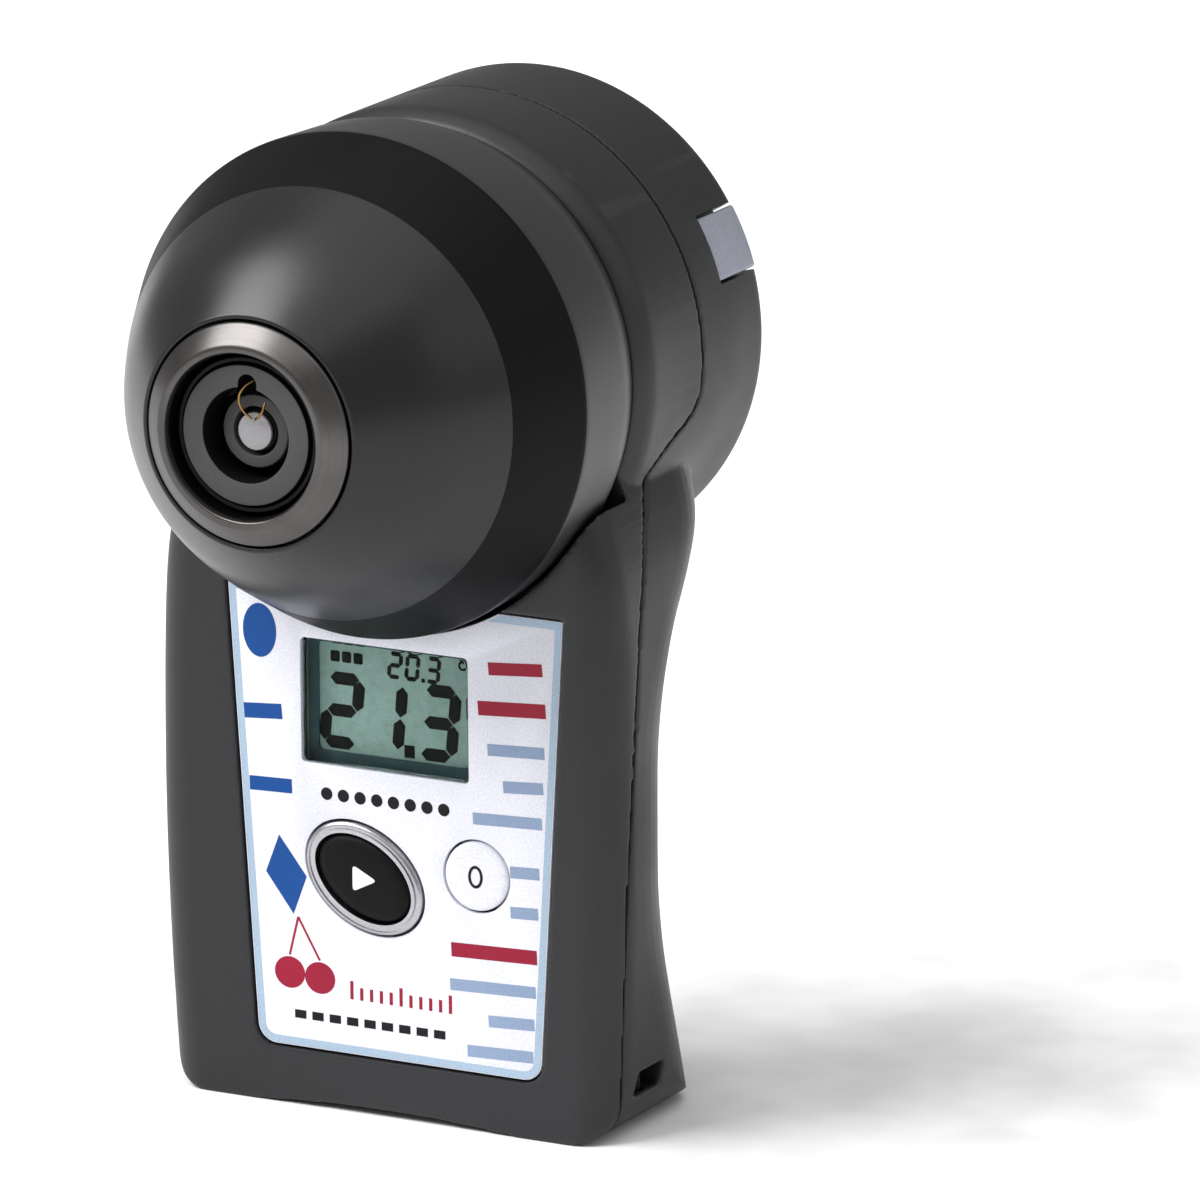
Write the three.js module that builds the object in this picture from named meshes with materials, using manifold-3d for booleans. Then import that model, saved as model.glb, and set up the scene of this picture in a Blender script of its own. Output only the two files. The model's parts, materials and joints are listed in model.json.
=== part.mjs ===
// Hand-held near-infrared sugar meter for fruit: a round measuring head with a rubber cone,
// on a waisted handle with a display, two keys and a label panel.
// Millimetres, +Z up, the cone points to -Y, origin in the middle of the object's box, at its base.
import * as THREE from 'three';
import { mergeVertices } from 'three/addons/utils/BufferGeometryUtils.js';
import Module from 'manifold-3d';

const wasm = await Module();
wasm.setup();

// ---- Driving dimensions -------------------------------------------------------------------
const AXIS_Z = 88.0;            // height of the measuring axis above the base
const HEAD_R = 28.6;            // casing radius at the back of the head
const HEAD_FRONT_R = 29.4;      // casing radius just behind the rubber boot
const TIP_Y = -35.9;            // front of the metal tip ring
const BACK_Y = 35.9;            // back face of the head
const HEAD_FRONT_Y = 5.6;       // front wall of the head casing
const SEAM_Y = 20.2;            // seam between the casings on the head
const BODY_HALF = 30.7;         // half of the handle's widest width
const BODY_FRONT_Y = -4.6;      // flat front of the handle
const BODY_REAR_Y = 24.8;       // rear of the flared base
const BODY_TOP_Z = 78;          // the handle runs up into the head to here
const WALL = 2.2;               // casing wall
const FRONT_WALL = 2.8;         // handle's front wall, which holds the panel
const NOSE_WALL = 2.5;          // wall of the head that carries the nose
const BOOT_WALL = 1.8;          // casing between the boot and the hollow handle
const GAP = 0.3;                // clearance between separate pieces
const SEGMENTS = 36;            // facets round the head's large rings
const SMALL = 16;               // facets round small round pieces
const LATCH_ANGLE = THREE.MathUtils.degToRad(23);  // the door latch sits this far above horizontal
const KEY_TRAVEL = 0.5;

// Label panel and what it frames, in the plane of the handle's front.
const PANEL = {
  x: 1.8, top: 62, bottom: 7.0, halfTop: 21.4, halfBottom: 18.2, corner: 2.4, face: -4.2, thick: 0.8,
};
const LCD = { x: 0.3, z: 48.8, width: 22.0, height: 14.9 };
const START = { x: -2.5, z: 28.4, a: 6.5, b: 4.3, ringA: 8.1, ringB: 5.9, tilt: -Math.PI / 6 };
const ZERO = { x: 12.2, z: 30.5, radius: 4.1 };
const BOARD = { front: 3.0, thick: 1.2, half: 17.5, bottom: 8, top: 56.4 };
const SCREWS = [[-22, 13], [22, 13], [-22, 49], [22, 49]];
const CELL = { radius: 5.2, half: 22.0, y: 25.2, spread: 6.3 };
const DOOR = { radius: 24.6, thick: 2.2, axisR: 22.0, axisY: 34.3, barrelR: 1.5, barrelHalf: 6, pinR: 0.55 };
const LATCH = { inner: 26.9, outer: 28.5, half: THREE.MathUtils.degToRad(7.8), front: 26.8, back: 35.6 };
const STRAP = { x: 27.4, y: 5.1, z: 6.2, width: 6.4, height: 2.8 };

// ---- Materials ----------------------------------------------------------------------------
const LOOKS = {
  casing: [0x3c3d42, 0.62, 0], rubber: [0x35363a, 0.55, 0], seal: [0x121214, 0.8, 0],
  steel: [0x9b9a98, 0.35, 0.9], optic: [0x4a4b4d, 0.6, 0], black: [0x0b0b0d, 0.6, 0],
  chip: [0xb9bbbd, 0.4, 0.2], gold: [0xc89a45, 0.3, 1], board: [0x1f5a36, 0.5, 0],
  emitter: [0xd8d8c8, 0.2, 0], panel: [0xe9eaf4, 0.45, 0], glass: [0x9fb3ab, 0.1, 0],
  display: [0x86a298, 0.3, 0], latch: [0x9398a8, 0.45, 0], tray: [0x2b2c30, 0.7, 0],
  cell: [0x4c6a8e, 0.35, 0.3], contact: [0xc9ccd0, 0.3, 1], flex: [0xb5762a, 0.5, 0],
};

// ---- Geometry helpers ---------------------------------------------------------------------
function weld(geometry) {
  const bare = geometry.index ? geometry.toNonIndexed() : geometry.clone();
  bare.deleteAttribute('normal');
  bare.deleteAttribute('uv');
  const merged = mergeVertices(bare, 1e-4);
  const corners = merged.index.array;
  const kept = [];
  for (let i = 0; i < corners.length; i += 3) {
    const [a, b, c] = corners.slice(i, i + 3);
    if (a !== b && b !== c && c !== a) kept.push(a, b, c);
  }
  merged.setIndex(kept);
  return merged;
}

function toManifold(geometry) {
  const merged = weld(geometry);
  const triVerts = Uint32Array.from(merged.index.array);
  const vertProperties = Float32Array.from(merged.attributes.position.array);
  let body = new wasm.Manifold(new wasm.Mesh({ numProp: 3, vertProperties, triVerts }));
  if (body.volume() < 0) {
    for (let i = 0; i < triVerts.length; i += 3) {
      [triVerts[i], triVerts[i + 1]] = [triVerts[i + 1], triVerts[i]];
    }
    body = new wasm.Manifold(new wasm.Mesh({ numProp: 3, vertProperties, triVerts }));
  }
  return body;
}

function toGeometry(body) {
  const mesh = body.getMesh();
  const geometry = new THREE.BufferGeometry();
  geometry.setAttribute('position', new THREE.BufferAttribute(Float32Array.from(mesh.vertProperties), 3));
  geometry.setIndex(new THREE.BufferAttribute(Uint32Array.from(mesh.triVerts), 1));
  geometry.computeVertexNormals();
  return geometry;
}

function united(...pieces) {
  return pieces.reduce((sum, piece) => sum.add(piece));
}

// A ring or disc turned round the measuring axis. Points are [radius, y].
function turned(points, segments = SEGMENTS) {
  const profile = points.map(([radius, y]) => new THREE.Vector2(radius, y));
  const onAxis = points[0][0] === 0 && points.at(-1)[0] === 0;
  if (!onAxis) profile.push(profile[0].clone());
  return toManifold(new THREE.LatheGeometry(profile, segments));
}

function ring(inner, outer, front, back, segments = SEGMENTS) {
  return turned([[inner, front], [outer, front], [outer, back], [inner, back]], segments);
}

function disc(radius, front, back, segments = SEGMENTS) {
  return turned([[0, front], [radius, front], [radius, back], [0, back]], segments);
}

function block(x0, x1, y0, y1, z0, z1) {
  const geometry = new THREE.BoxGeometry(x1 - x0, y1 - y0, z1 - z0);
  geometry.translate((x0 + x1) / 2, (y0 + y1) / 2, (z0 + z1) / 2);
  return toManifold(geometry);
}

// A flat outline drawn in X and Z, given thickness along Y.
function plate(shape, front, back, curveSegments = 4) {
  const settings = { depth: back - front, bevelEnabled: false, curveSegments };
  const geometry = new THREE.ExtrudeGeometry(shape, settings);
  geometry.rotateX(Math.PI / 2);
  geometry.translate(0, back, 0);
  return toManifold(geometry);
}

function polygon(points) {
  return new THREE.Shape(points.map(([x, z]) => new THREE.Vector2(x, z)));
}

function oval(x, z, a, b, tilt) {
  const shape = new THREE.Shape();
  shape.absellipse(x, z, a, b, 0, 2 * Math.PI, false, tilt);
  return shape;
}

function round(x, z, radius, front, back, segments = SMALL) {
  return disc(radius, front, back, segments).translate([x, 0, z]);
}

// Rounded rectangle between two corners, with one radius for its lower and one for its upper corners.
function roundedRect(x0, x1, z0, z1, low, high = low) {
  const shape = new THREE.Shape();
  shape.moveTo(x0 + low, z0);
  shape.absarc(x1 - low, z0 + low, low, -Math.PI / 2, 0, false);
  shape.absarc(x1 - high, z1 - high, high, 0, Math.PI / 2, false);
  shape.absarc(x0 + high, z1 - high, high, Math.PI / 2, Math.PI, false);
  shape.absarc(x0 + low, z0 + low, low, Math.PI, 1.5 * Math.PI, false);
  return shape;
}

// Smooth curve through [z, value] stations.
function profile(stations) {
  const curve = new THREE.SplineCurve(stations.map(([z, value]) => new THREE.Vector2(z, value)));
  const samples = curve.getPoints(160);
  return (z) => {
    const next = samples.findIndex((p) => p.x >= z);
    if (next <= 0) return samples[next < 0 ? samples.length - 1 : 0].y;
    const [a, b] = [samples[next - 1], samples[next]];
    return a.y + (b.y - a.y) * (z - a.x) / (b.x - a.x);
  };
}

// ---- Handle -------------------------------------------------------------------------------
const halfWidthAt = profile([[0, 29.3], [10, 29.9], [18, 30.3], [28, 30.6], [39, 30.7], [56, 30.4],
  [68, 29.7], [78, 28.2]]);
const rearAt = profile([[0, 24.8], [8, 21.6], [16, 18.4], [22, 16.5], [29, 15.3], [41, 15.2], [47, 15.8],
  [53, 17.5], [59, 20.5], [64, 24.4], [70, 28.6], [78, 30.6]]);

// The handle's body at a distance `inset` inside its outer surface, with `frontInset` at the flat front.
function handleBody(inset, frontInset, bottom) {
  const front = BODY_FRONT_Y + frontInset;
  const rear = BODY_REAR_Y - inset;
  const half = BODY_HALF - inset;
  const plan = roundedRect(-half, half, front, rear, 5 - inset * 0.7, 13 - inset * 0.7);
  const height = BODY_TOP_Z - bottom;
  const settings = { depth: height, steps: 11, bevelEnabled: false, curveSegments: 4 };
  const geometry = new THREE.ExtrudeGeometry(plan, settings);
  const places = geometry.attributes.position;
  for (let i = 0; i < places.count; i += 1) {
    const z = places.getZ(i) + bottom;
    const width = (halfWidthAt(z) - inset) / half;
    const depth = (rearAt(z) - inset - front) / (rear - front);
    places.setXYZ(i, places.getX(i) * width, front + (places.getY(i) - front) * depth, z);
  }
  return toManifold(geometry);
}

// Front view of the handle: rounded lower corners, and a gentle arch between two flat feet.
function handleOutline() {
  const wide = 31;
  const half = 29.3;
  const corner = 5.2;
  const foot = 17;
  const arch = 1.3;
  const shape = new THREE.Shape();
  shape.moveTo(-wide, 90);
  shape.lineTo(-wide, 12);
  shape.absarc(-half + corner, corner, corner, Math.PI, 1.5 * Math.PI, false);
  shape.lineTo(-foot, 0);
  shape.quadraticCurveTo(0, 2 * arch, foot, 0);
  shape.absarc(half - corner, corner, corner, 1.5 * Math.PI, 2 * Math.PI, false);
  shape.lineTo(wide, 12);
  shape.lineTo(wide, 90);
  return shape;
}

// Side view of what is cut away below the rear of the base, where it curves up.
const HEEL = [[14, -1], [14, 0], [17.5, 0.4], [21, 1.6], [24, 3.4], [27, 7.0], [27, -1]];

// Side view of the front half: on the head it ends at the seam, on the handle nearer the front.
function frontHalfOutline(offset) {
  const y = (value) => value + offset;
  const z = (value) => value - offset;
  return [[y(-0.9), -2], [y(-1.4), 14], [y(-1.2), 30], [y(0.2), 48], [y(2.4), 62], [y(5.4), 71],
    [y(8.4), z(76)], [y(13.4), z(79.8)], [y(SEAM_Y), z(82.4)], [y(SEAM_Y), 120], [-60, 120], [-60, -2]];
}

function sidePlate(points, half) {
  const shape = polygon(points);
  const geometry = new THREE.ExtrudeGeometry(shape, { depth: 2 * half, bevelEnabled: false });
  geometry.translate(0, 0, -half);
  geometry.rotateX(Math.PI / 2);
  geometry.rotateZ(Math.PI / 2);
  return toManifold(geometry);
}

// Everything that belongs to the front casing: its side view, and the wall that carries the nose.
function frontHalf(offset) {
  const noseWall = disc(HEAD_FRONT_R + BOOT_WALL + 0.4 + offset, -20,
    HEAD_FRONT_Y + NOSE_WALL + GAP + offset);
  return sidePlate(frontHalfOutline(offset), 40).add(onAxis(noseWall));
}

function panelOutline(grow) {
  const { x, top, bottom, halfTop, halfBottom, corner } = PANEL;
  const radius = corner + grow;
  const low = bottom - grow;
  const left = x - halfBottom - grow;
  const right = x + halfBottom + grow;
  const shape = new THREE.Shape();
  shape.moveTo(x - halfTop - grow, top + grow);
  shape.lineTo(left, low + radius);
  shape.absarc(left + radius, low + radius, radius, Math.PI, 1.5 * Math.PI, false);
  shape.absarc(right - radius, low + radius, radius, 1.5 * Math.PI, 2 * Math.PI, false);
  shape.lineTo(x + halfTop + grow, top + grow);
  return shape;
}

function lcdOutline(grow, growTop = grow) {
  const { x, z, width, height } = LCD;
  const half = width / 2 + grow;
  return roundedRect(x - half, x + half, z - height / 2 - grow, z + height / 2 + growTop, 0.6);
}

const onAxis = (body) => body.translate([0, 0, AXIS_Z]);

// A body drawn with its X across the door and Z along the hinge, turned into place on the head.
function turnedToLatch(body) {
  return onAxis(body.rotate([0, -THREE.MathUtils.radToDeg(LATCH_ANGLE), 0]));
}

function hingeRod(radius, half) {
  const geometry = new THREE.CylinderGeometry(radius, radius, 2 * half, SMALL);
  geometry.rotateX(Math.PI / 2);
  geometry.translate(-DOOR.axisR, DOOR.axisY, 0);
  return toManifold(geometry);
}

function arcBlock(inner, outer, half, front, back) {
  const shape = new THREE.Shape();
  shape.absarc(0, 0, outer, -half, half, false);
  shape.absarc(0, 0, inner, half, -half, true);
  return plate(shape, front, back, 5);
}

// ---- Casings ------------------------------------------------------------------------------
function casingShell() {
  const head = onAxis(turned([[0, HEAD_FRONT_Y], [28.6, HEAD_FRONT_Y], [HEAD_FRONT_R, 6.6],
    [HEAD_R, BACK_Y - 1], [27.7, BACK_Y], [0, BACK_Y]]));
  const bootRoom = onAxis(disc(HEAD_FRONT_R + 0.6, -20, HEAD_FRONT_Y + 0.001));
  const outline = plate(handleOutline(), -10, 40);
  const handle = handleBody(0, 0, 0).intersect(outline).subtract(sidePlate(HEEL, 40));
  const outer = handle.subtract(bootRoom).add(head);

  const headHollow = onAxis(disc(HEAD_R - WALL, HEAD_FRONT_Y + NOSE_WALL, 31.3));
  const bootWall = onAxis(disc(HEAD_FRONT_R + BOOT_WALL, -20, HEAD_FRONT_Y + NOSE_WALL));
  const handleHollow = handleBody(WALL, FRONT_WALL, 3.4).subtract(bootWall);
  return outer.subtract(headHollow.add(handleHollow));
}

function panelOpenings() {
  return united(
    plate(panelOutline(GAP), -20, PANEL.face + PANEL.thick + GAP),
    plate(lcdOutline(0.4), -20, 0),
    plate(oval(START.x, START.z, START.a + GAP, START.b + GAP, START.tilt), -20, 0, 6),
    round(ZERO.x, ZERO.z, ZERO.radius + GAP, -20, 0),
  );
}

function frontCasing(shell) {
  const half = frontHalf(-GAP / 2);
  const bosses = SCREWS.map(([x, z]) => round(x, z, 2.7, BODY_FRONT_Y + 1.5, 0.2, 12));
  const bores = SCREWS.map(([x, z]) => round(x, z, 1.4, -2.4, 3, 8));
  const noseBores = NOSE_SCREW_ANGLES.map((angle) => onAxis(noseHole(angle, 1.2)));
  const sensorBore = onAxis(disc(12, 0, 12, 32));
  return united(shell.intersect(half), ...bosses)
    .subtract(united(panelOpenings(), sensorBore, ...bores, ...noseBores));
}

function doorPocket() {
  const room = DOOR.radius + 0.35;
  const floor = BACK_Y - DOOR.thick - 1.2;
  const chord = block(-DOOR.axisR + 1.6, 40, floor, 40, -40, 40);
  const slotHalf = DOOR.barrelHalf + GAP;
  const barrelSlot = block(-DOOR.axisR - 2.1, 0, DOOR.axisY - 2.1, 40, -slotHalf, slotHalf);
  return disc(room, floor, 40).intersect(chord).add(barrelSlot);
}

function rearCasing(shell) {
  const half = frontHalf(GAP / 2);
  const bay = onAxis(disc(22.6, 22.9, 40));
  const chordBlock = turnedToLatch(block(-26, -17.5, 31.5, 35.3, -17, 17));
  const chordLand = chordBlock.intersect(onAxis(disc(27, 22, 35.5)));
  const pocket = turnedToLatch(doorPocket());
  const pinHole = turnedToLatch(hingeRod(DOOR.pinR + GAP, 9.3));
  const latchRoom = turnedToLatch(arcBlock(LATCH.inner - 1.4, 31, LATCH.half + 0.012, LATCH.front - GAP, 40));
  const strapBlock = block(22.5, 28.6, 0.9, 9.6, 3.2, 9.8).intersect(handleBody(0.6, 0.6, 0));
  const strapSlot = block(24.6, 32, STRAP.y - STRAP.width / 2, STRAP.y + STRAP.width / 2,
    STRAP.z - STRAP.height / 2, STRAP.z + STRAP.height / 2);
  const strapBore = strapPin(0.8 + GAP, 2.4 + GAP);
  const posts = SCREWS.map(([x, z]) => round(x, z, 2.9, 0.5, rearAt(z) - 1.4, 12));
  const bores = SCREWS.map(([x, z]) => round(x, z, 1.4, 0, 30, 8));
  const sinks = SCREWS.map(([x, z]) => round(x, z, 2.6, rearAt(z) - 2.9, 40, 12));
  return united(shell.subtract(half).subtract(bay), chordLand, strapBlock, ...posts)
    .subtract(united(pocket, pinHole, latchRoom, strapSlot, strapBore, ...bores, ...sinks));
}

function strapPin(radius, half) {
  const geometry = new THREE.CylinderGeometry(radius, radius, 2 * half, 12);
  geometry.rotateX(Math.PI / 2);
  geometry.translate(STRAP.x, STRAP.y, STRAP.z);
  return toManifold(geometry);
}

// ---- Measuring nose -----------------------------------------------------------------------
const NOSE_SCREW_ANGLES = [90, 210, 330].map((degrees) => THREE.MathUtils.degToRad(degrees));
const NOSE_SCREW_RADIUS = 17;

function noseHole(angle, radius) {
  return round(NOSE_SCREW_RADIUS * Math.cos(angle), NOSE_SCREW_RADIUS * Math.sin(angle), radius, 0.8, 12, 8);
}

const BOOT_OUTER = [[13.5, -34.7], [19.9, -26.6], [24.9, -18.1], [29.8, -8.8], [29.3, 5.2]];
const BOOT_INNER = [[27.2, 5.2], [27.2, -7.6], [11.8, -33.1], [11.8, -34.4]];

function sensorBoot() {
  return turned([...BOOT_OUTER, ...BOOT_INNER]);
}

function noseFrame() {
  const frame = turned([
    [11.3, -32.7], [26.8, -7.3], [26.8, 5.2], [13.2, 5.2], [13.2, 3.0], [24.7, 3.0], [24.7, -6.8],
    [11.3, -29.2],
  ], 32);
  return frame.subtract(united(...NOSE_SCREW_ANGLES.map((angle) => noseHole(angle, 1.2))));
}

function noseScrew(angle) {
  const x = NOSE_SCREW_RADIUS * Math.cos(angle);
  const z = NOSE_SCREW_RADIUS * Math.sin(angle);
  return round(x, z, 0.9, 1.9, 8.9, 8).add(round(x, z, 1.9, 8.5, 10.1, 8));
}

function tipRing() {
  return turned([
    [9.3, -35.3], [9.8, TIP_Y], [11.0, TIP_Y], [12.8, -35.3], [12.8, -34.9], [10.9, -34.9],
    [10.9, -25.4], [9.3, -25.4],
  ]);
}

function led(angle) {
  const radius = 6.7;
  const dome = turned([[0, -29.7], [0.9, -29.1], [0.9, -27.5], [0, -27.5]], 8);
  return dome.translate([radius * Math.cos(angle), 0, radius * Math.sin(angle)]);
}

function bondWire(side) {
  const path = new THREE.CatmullRomCurve3([
    new THREE.Vector3(side * 0.3, -32.85, 1.5),
    new THREE.Vector3(side * 1.3, -33.1, 2.7),
    new THREE.Vector3(side * 1.2, -33.1, 3.9),
    new THREE.Vector3(side * 0.5, -32.8, 4.7),
  ]);
  const wire = new THREE.Shape();
  wire.absarc(0, 0, 0.13, 0, 2 * Math.PI, false);
  return toManifold(new THREE.ExtrudeGeometry(wire, { steps: 6, curveSegments: 2, extrudePath: path }));
}

// ---- Inside the handle --------------------------------------------------------------------
function labelPanel() {
  const { face, thick } = PANEL;
  const sheet = plate(panelOutline(0), face, face + thick);
  const holes = united(
    plate(lcdOutline(0), -10, 0),
    plate(oval(START.x, START.z, START.ringA + GAP, START.ringB + GAP, START.tilt), -10, 0, 6),
    round(ZERO.x, ZERO.z, ZERO.radius + GAP, -10, 0),
    onAxis(disc(HEAD_FRONT_R + 0.8, -10, 0)),
  );
  return sheet.subtract(holes);
}

// A key cap with a flange behind the casing wall and a stem that meets its switch.
function keyCap(cap, flange, x, z) {
  return united(cap, flange, round(x, z, 1.3, -0.9, 0.7, 12));
}

function mainBoard() {
  const { front, thick, half, bottom, top } = BOARD;
  return plate(roundedRect(-half, half, bottom, top, 2), front, front + thick, 3);
}

function sensorFlex() {
  const width = 4;
  const strip = polygon([[4.9, 85.6], [10.6, 85.6], [10.6, 59.2], [6.4, 54.2], [6.4, 53.4], [6.7, 53.4],
    [6.7, 54.1], [10.9, 59.1], [10.9, 85.9], [4.9, 85.9]]);
  const geometry = new THREE.ExtrudeGeometry(strip, { depth: 2 * width, bevelEnabled: false });
  geometry.translate(0, 0, -width);
  geometry.rotateX(Math.PI / 2);
  geometry.rotateZ(Math.PI / 2);
  return toManifold(geometry);
}

// ---- Battery bay --------------------------------------------------------------------------
function cell(side) {
  const { radius, half, y, spread } = CELL;
  const points = [[0, -half], [radius, -half], [radius, half - 1.8], [radius - 0.7, half - 1.0],
    [1.9, half - 1.0], [1.9, half], [0, half]];
  const turn = side > 0 ? 90 : -90;
  return turned(points, SMALL).rotate([0, 0, turn]).translate([0, y, AXIS_Z + side * spread]);
}

function batteryTray() {
  const radius = 24.2;
  const floor = disc(radius, 17.1, 19.1, 24);
  const ends = [-1, 1].map((side) => block(side * 23.7 - 0.6, side * 23.7 + 0.6, 17.9, 29.9, -9.2, 9.2));
  const rib = block(-23.5, 23.5, 17.9, 22.9, -0.5, 0.5);
  return onAxis(united(floor, ...ends, rib).intersect(disc(radius, 10, 33, 24)));
}

function contactSpring(side) {
  const steps = [[0, 22.3], [1.4, 22.3], [2.6, 22.8], [0, 22.8]];
  return turned(steps, 12).rotate([0, 0, -90]).translate([0, CELL.y, AXIS_Z + side * CELL.spread]);
}

function batteryDoor() {
  const front = BACK_Y - DOOR.thick;
  const cover = turned([[0, front], [DOOR.radius, front], [DOOR.radius, BACK_Y - 0.5],
    [DOOR.radius - 0.5, BACK_Y], [0, BACK_Y]]);
  const trimmed = cover.intersect(block(-DOOR.axisR + 2.5, 40, 0, 40, -40, 40));
  const web = block(-DOOR.axisR, -DOOR.axisR + 4, front, DOOR.axisY + DOOR.barrelR - 0.1,
    -DOOR.barrelHalf, DOOR.barrelHalf);
  const body = united(trimmed, web, hingeRod(DOOR.barrelR, DOOR.barrelHalf));
  const grooves = [-1, 0, 1].map((place) => block(14 + place * 2.4 - 0.5, 14 + place * 2.4 + 0.5,
    BACK_Y - 0.6, 40, -7, 7));
  return turnedToLatch(body.subtract(united(hingeRod(DOOR.pinR + GAP, 20), ...grooves)));
}

function doorSeal() {
  const floor = BACK_Y - DOOR.thick - 1.2;
  return turnedToLatch(ring(23.2, 24.5, floor + GAP, floor + 0.9)
    .intersect(block(-DOOR.axisR + 2.6, 40, 0, 40, -40, 40)));
}

function doorLatch() {
  const tab = arcBlock(LATCH.inner, LATCH.outer, LATCH.half - 0.006, LATCH.front, LATCH.back);
  return turnedToLatch(tab);
}

// ---- The object ---------------------------------------------------------------------------
const meter = new THREE.Group();

function add(name, look, body) {
  const [color, roughness, metalness] = LOOKS[look];
  const material = new THREE.MeshStandardMaterial({ color, roughness, metalness });
  const mesh = new THREE.Mesh(toGeometry(body), material);
  mesh.name = name;
  meter.add(mesh);
}

const shell = casingShell();
add('front_casing', 'casing', frontCasing(shell));
add('rear_casing', 'casing', rearCasing(shell));
add('casing_seal', 'seal', onAxis(ring(24.6, 25.6, SEAM_Y - 0.9, SEAM_Y + 0.9)));
SCREWS.forEach(([x, z], i) => {
  const head = rearAt(z) - 2.6;
  const screw = round(x, z, 1.0, -2.0, head + 0.2, 8).add(round(x, z, 2.2, head, head + 1.5, 12));
  add(`casing_screw_${i + 1}`, 'steel', screw);
});
add('strap_pin', 'steel', strapPin(0.8, 2.4));

add('sensor_boot', 'rubber', onAxis(sensorBoot()));
add('nose_frame', 'tray', onAxis(noseFrame()));
NOSE_SCREW_ANGLES.forEach((angle, i) => add(`nose_screw_${i + 1}`, 'steel', onAxis(noseScrew(angle))));
add('tip_ring', 'steel', onAxis(tipRing()));
add('outer_barrier', 'black', onAxis(ring(8.4, 8.9, -34.1, -25.7, 32)));
add('light_guide_ring', 'optic', onAxis(ring(5.5, 8.1, -34.5, -30.1, 32)));
add('inner_barrier', 'black', onAxis(ring(3.0, 3.95, -32.2, -25.1, 24)));
add('photodiode_can', 'black', onAxis(disc(2.7, -31.7, -26.3, 20)));
add('photodiode_chip', 'chip', onAxis(disc(2.15, -32.4, -32.0, 20)));
[-1, 1].forEach((side, i) => add(`bond_wire_${i + 1}`, 'gold', onAxis(bondWire(side))));
add('led_board', 'board', onAxis(ring(4.4, 8.0, -27.2, -26.0, 20)));
for (let i = 0; i < 6; i += 1) {
  add(`led_${i + 1}`, 'emitter', onAxis(led((i + 0.5) * Math.PI / 3)));
}
add('sensor_barrel', 'tray', onAxis(ring(4.4, 8.6, -25.1, 2.6, 20)));
add('sensor_board', 'board', onAxis(disc(8.4, 3.0, 4.2, 20)));

add('label_panel', 'panel', labelPanel());
add('lcd_window', 'glass', plate(lcdOutline(-GAP), PANEL.face + 0.05, PANEL.face + 0.6, 3));
add('lcd_module', 'display', plate(lcdOutline(1.6, 0.3), -1.3, 0.7, 3));
[LCD.z - 8, LCD.z + 7].forEach((z, i) => {
  add(`lcd_connector_${i + 1}`, 'seal', block(LCD.x - 10, LCD.x + 10, 1.0, 2.7, z - 0.8, z + 0.8));
});
const bezel = plate(oval(START.x, START.z, START.ringA, START.ringB, START.tilt), -4.65, -3.35, 6);
const bezelHole = plate(oval(START.x, START.z, START.a + GAP, START.b + GAP, START.tilt), -10, 0, 6);
add('start_bezel', 'contact', bezel.subtract(bezelHole));
add('start_key', 'black', keyCap(
  plate(oval(START.x, START.z, START.a, START.b, START.tilt), -4.75, -0.8, 6),
  plate(oval(START.x, START.z, START.a + 1, START.b + 1, START.tilt), -1.4, -0.6, 6), START.x, START.z));
add('zero_key', 'panel', keyCap(
  round(ZERO.x, ZERO.z, ZERO.radius, -4.45, -0.8),
  round(ZERO.x, ZERO.z, ZERO.radius + 1, -1.4, -0.6), ZERO.x, ZERO.z));
[['start_switch', START], ['zero_switch', ZERO]].forEach(([name, place]) => {
  const { x, z } = place;
  add(name, 'contact', block(x - 2.6, x + 2.6, KEY_TRAVEL + 0.95, 2.7, z - 2.6, z + 2.6));
});

add('main_board', 'board', mainBoard());
add('microcontroller', 'black', block(-12, -3, 4.5, 5.9, 30, 39));
add('amplifier_chip', 'black', block(4, 9, 4.5, 5.9, 33, 38));
add('flex_connector', 'panel', block(-5.5, 5.5, 4.5, 6.1, 49.6, 53.1));
add('buzzer', 'black', round(0, 17, 5.2, 4.5, 8.3));
add('sensor_flex', 'flex', sensorFlex());

add('battery_tray', 'tray', batteryTray());
add('battery_1', 'cell', cell(1));
add('battery_2', 'cell', cell(-1));
add('contact_plate', 'contact', onAxis(block(-22.8, -22.3, 23.2, 27.9, -9, 9)));
[1, -1].forEach((side, i) => add(`contact_spring_${i + 1}`, 'contact', contactSpring(side)));
add('battery_door', 'casing', batteryDoor());
add('door_seal', 'seal', doorSeal());
add('door_hinge_pin', 'steel', turnedToLatch(hingeRod(DOOR.pinR, 8.6)));
add('door_latch', 'latch', doorLatch());

export default meter;
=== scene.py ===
"""Hand-held near-infrared sugar meter for fruit: its finished surfaces, materials and studio."""
import json
import math

import bmesh
import bpy
from mathutils import Matrix, Vector


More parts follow.
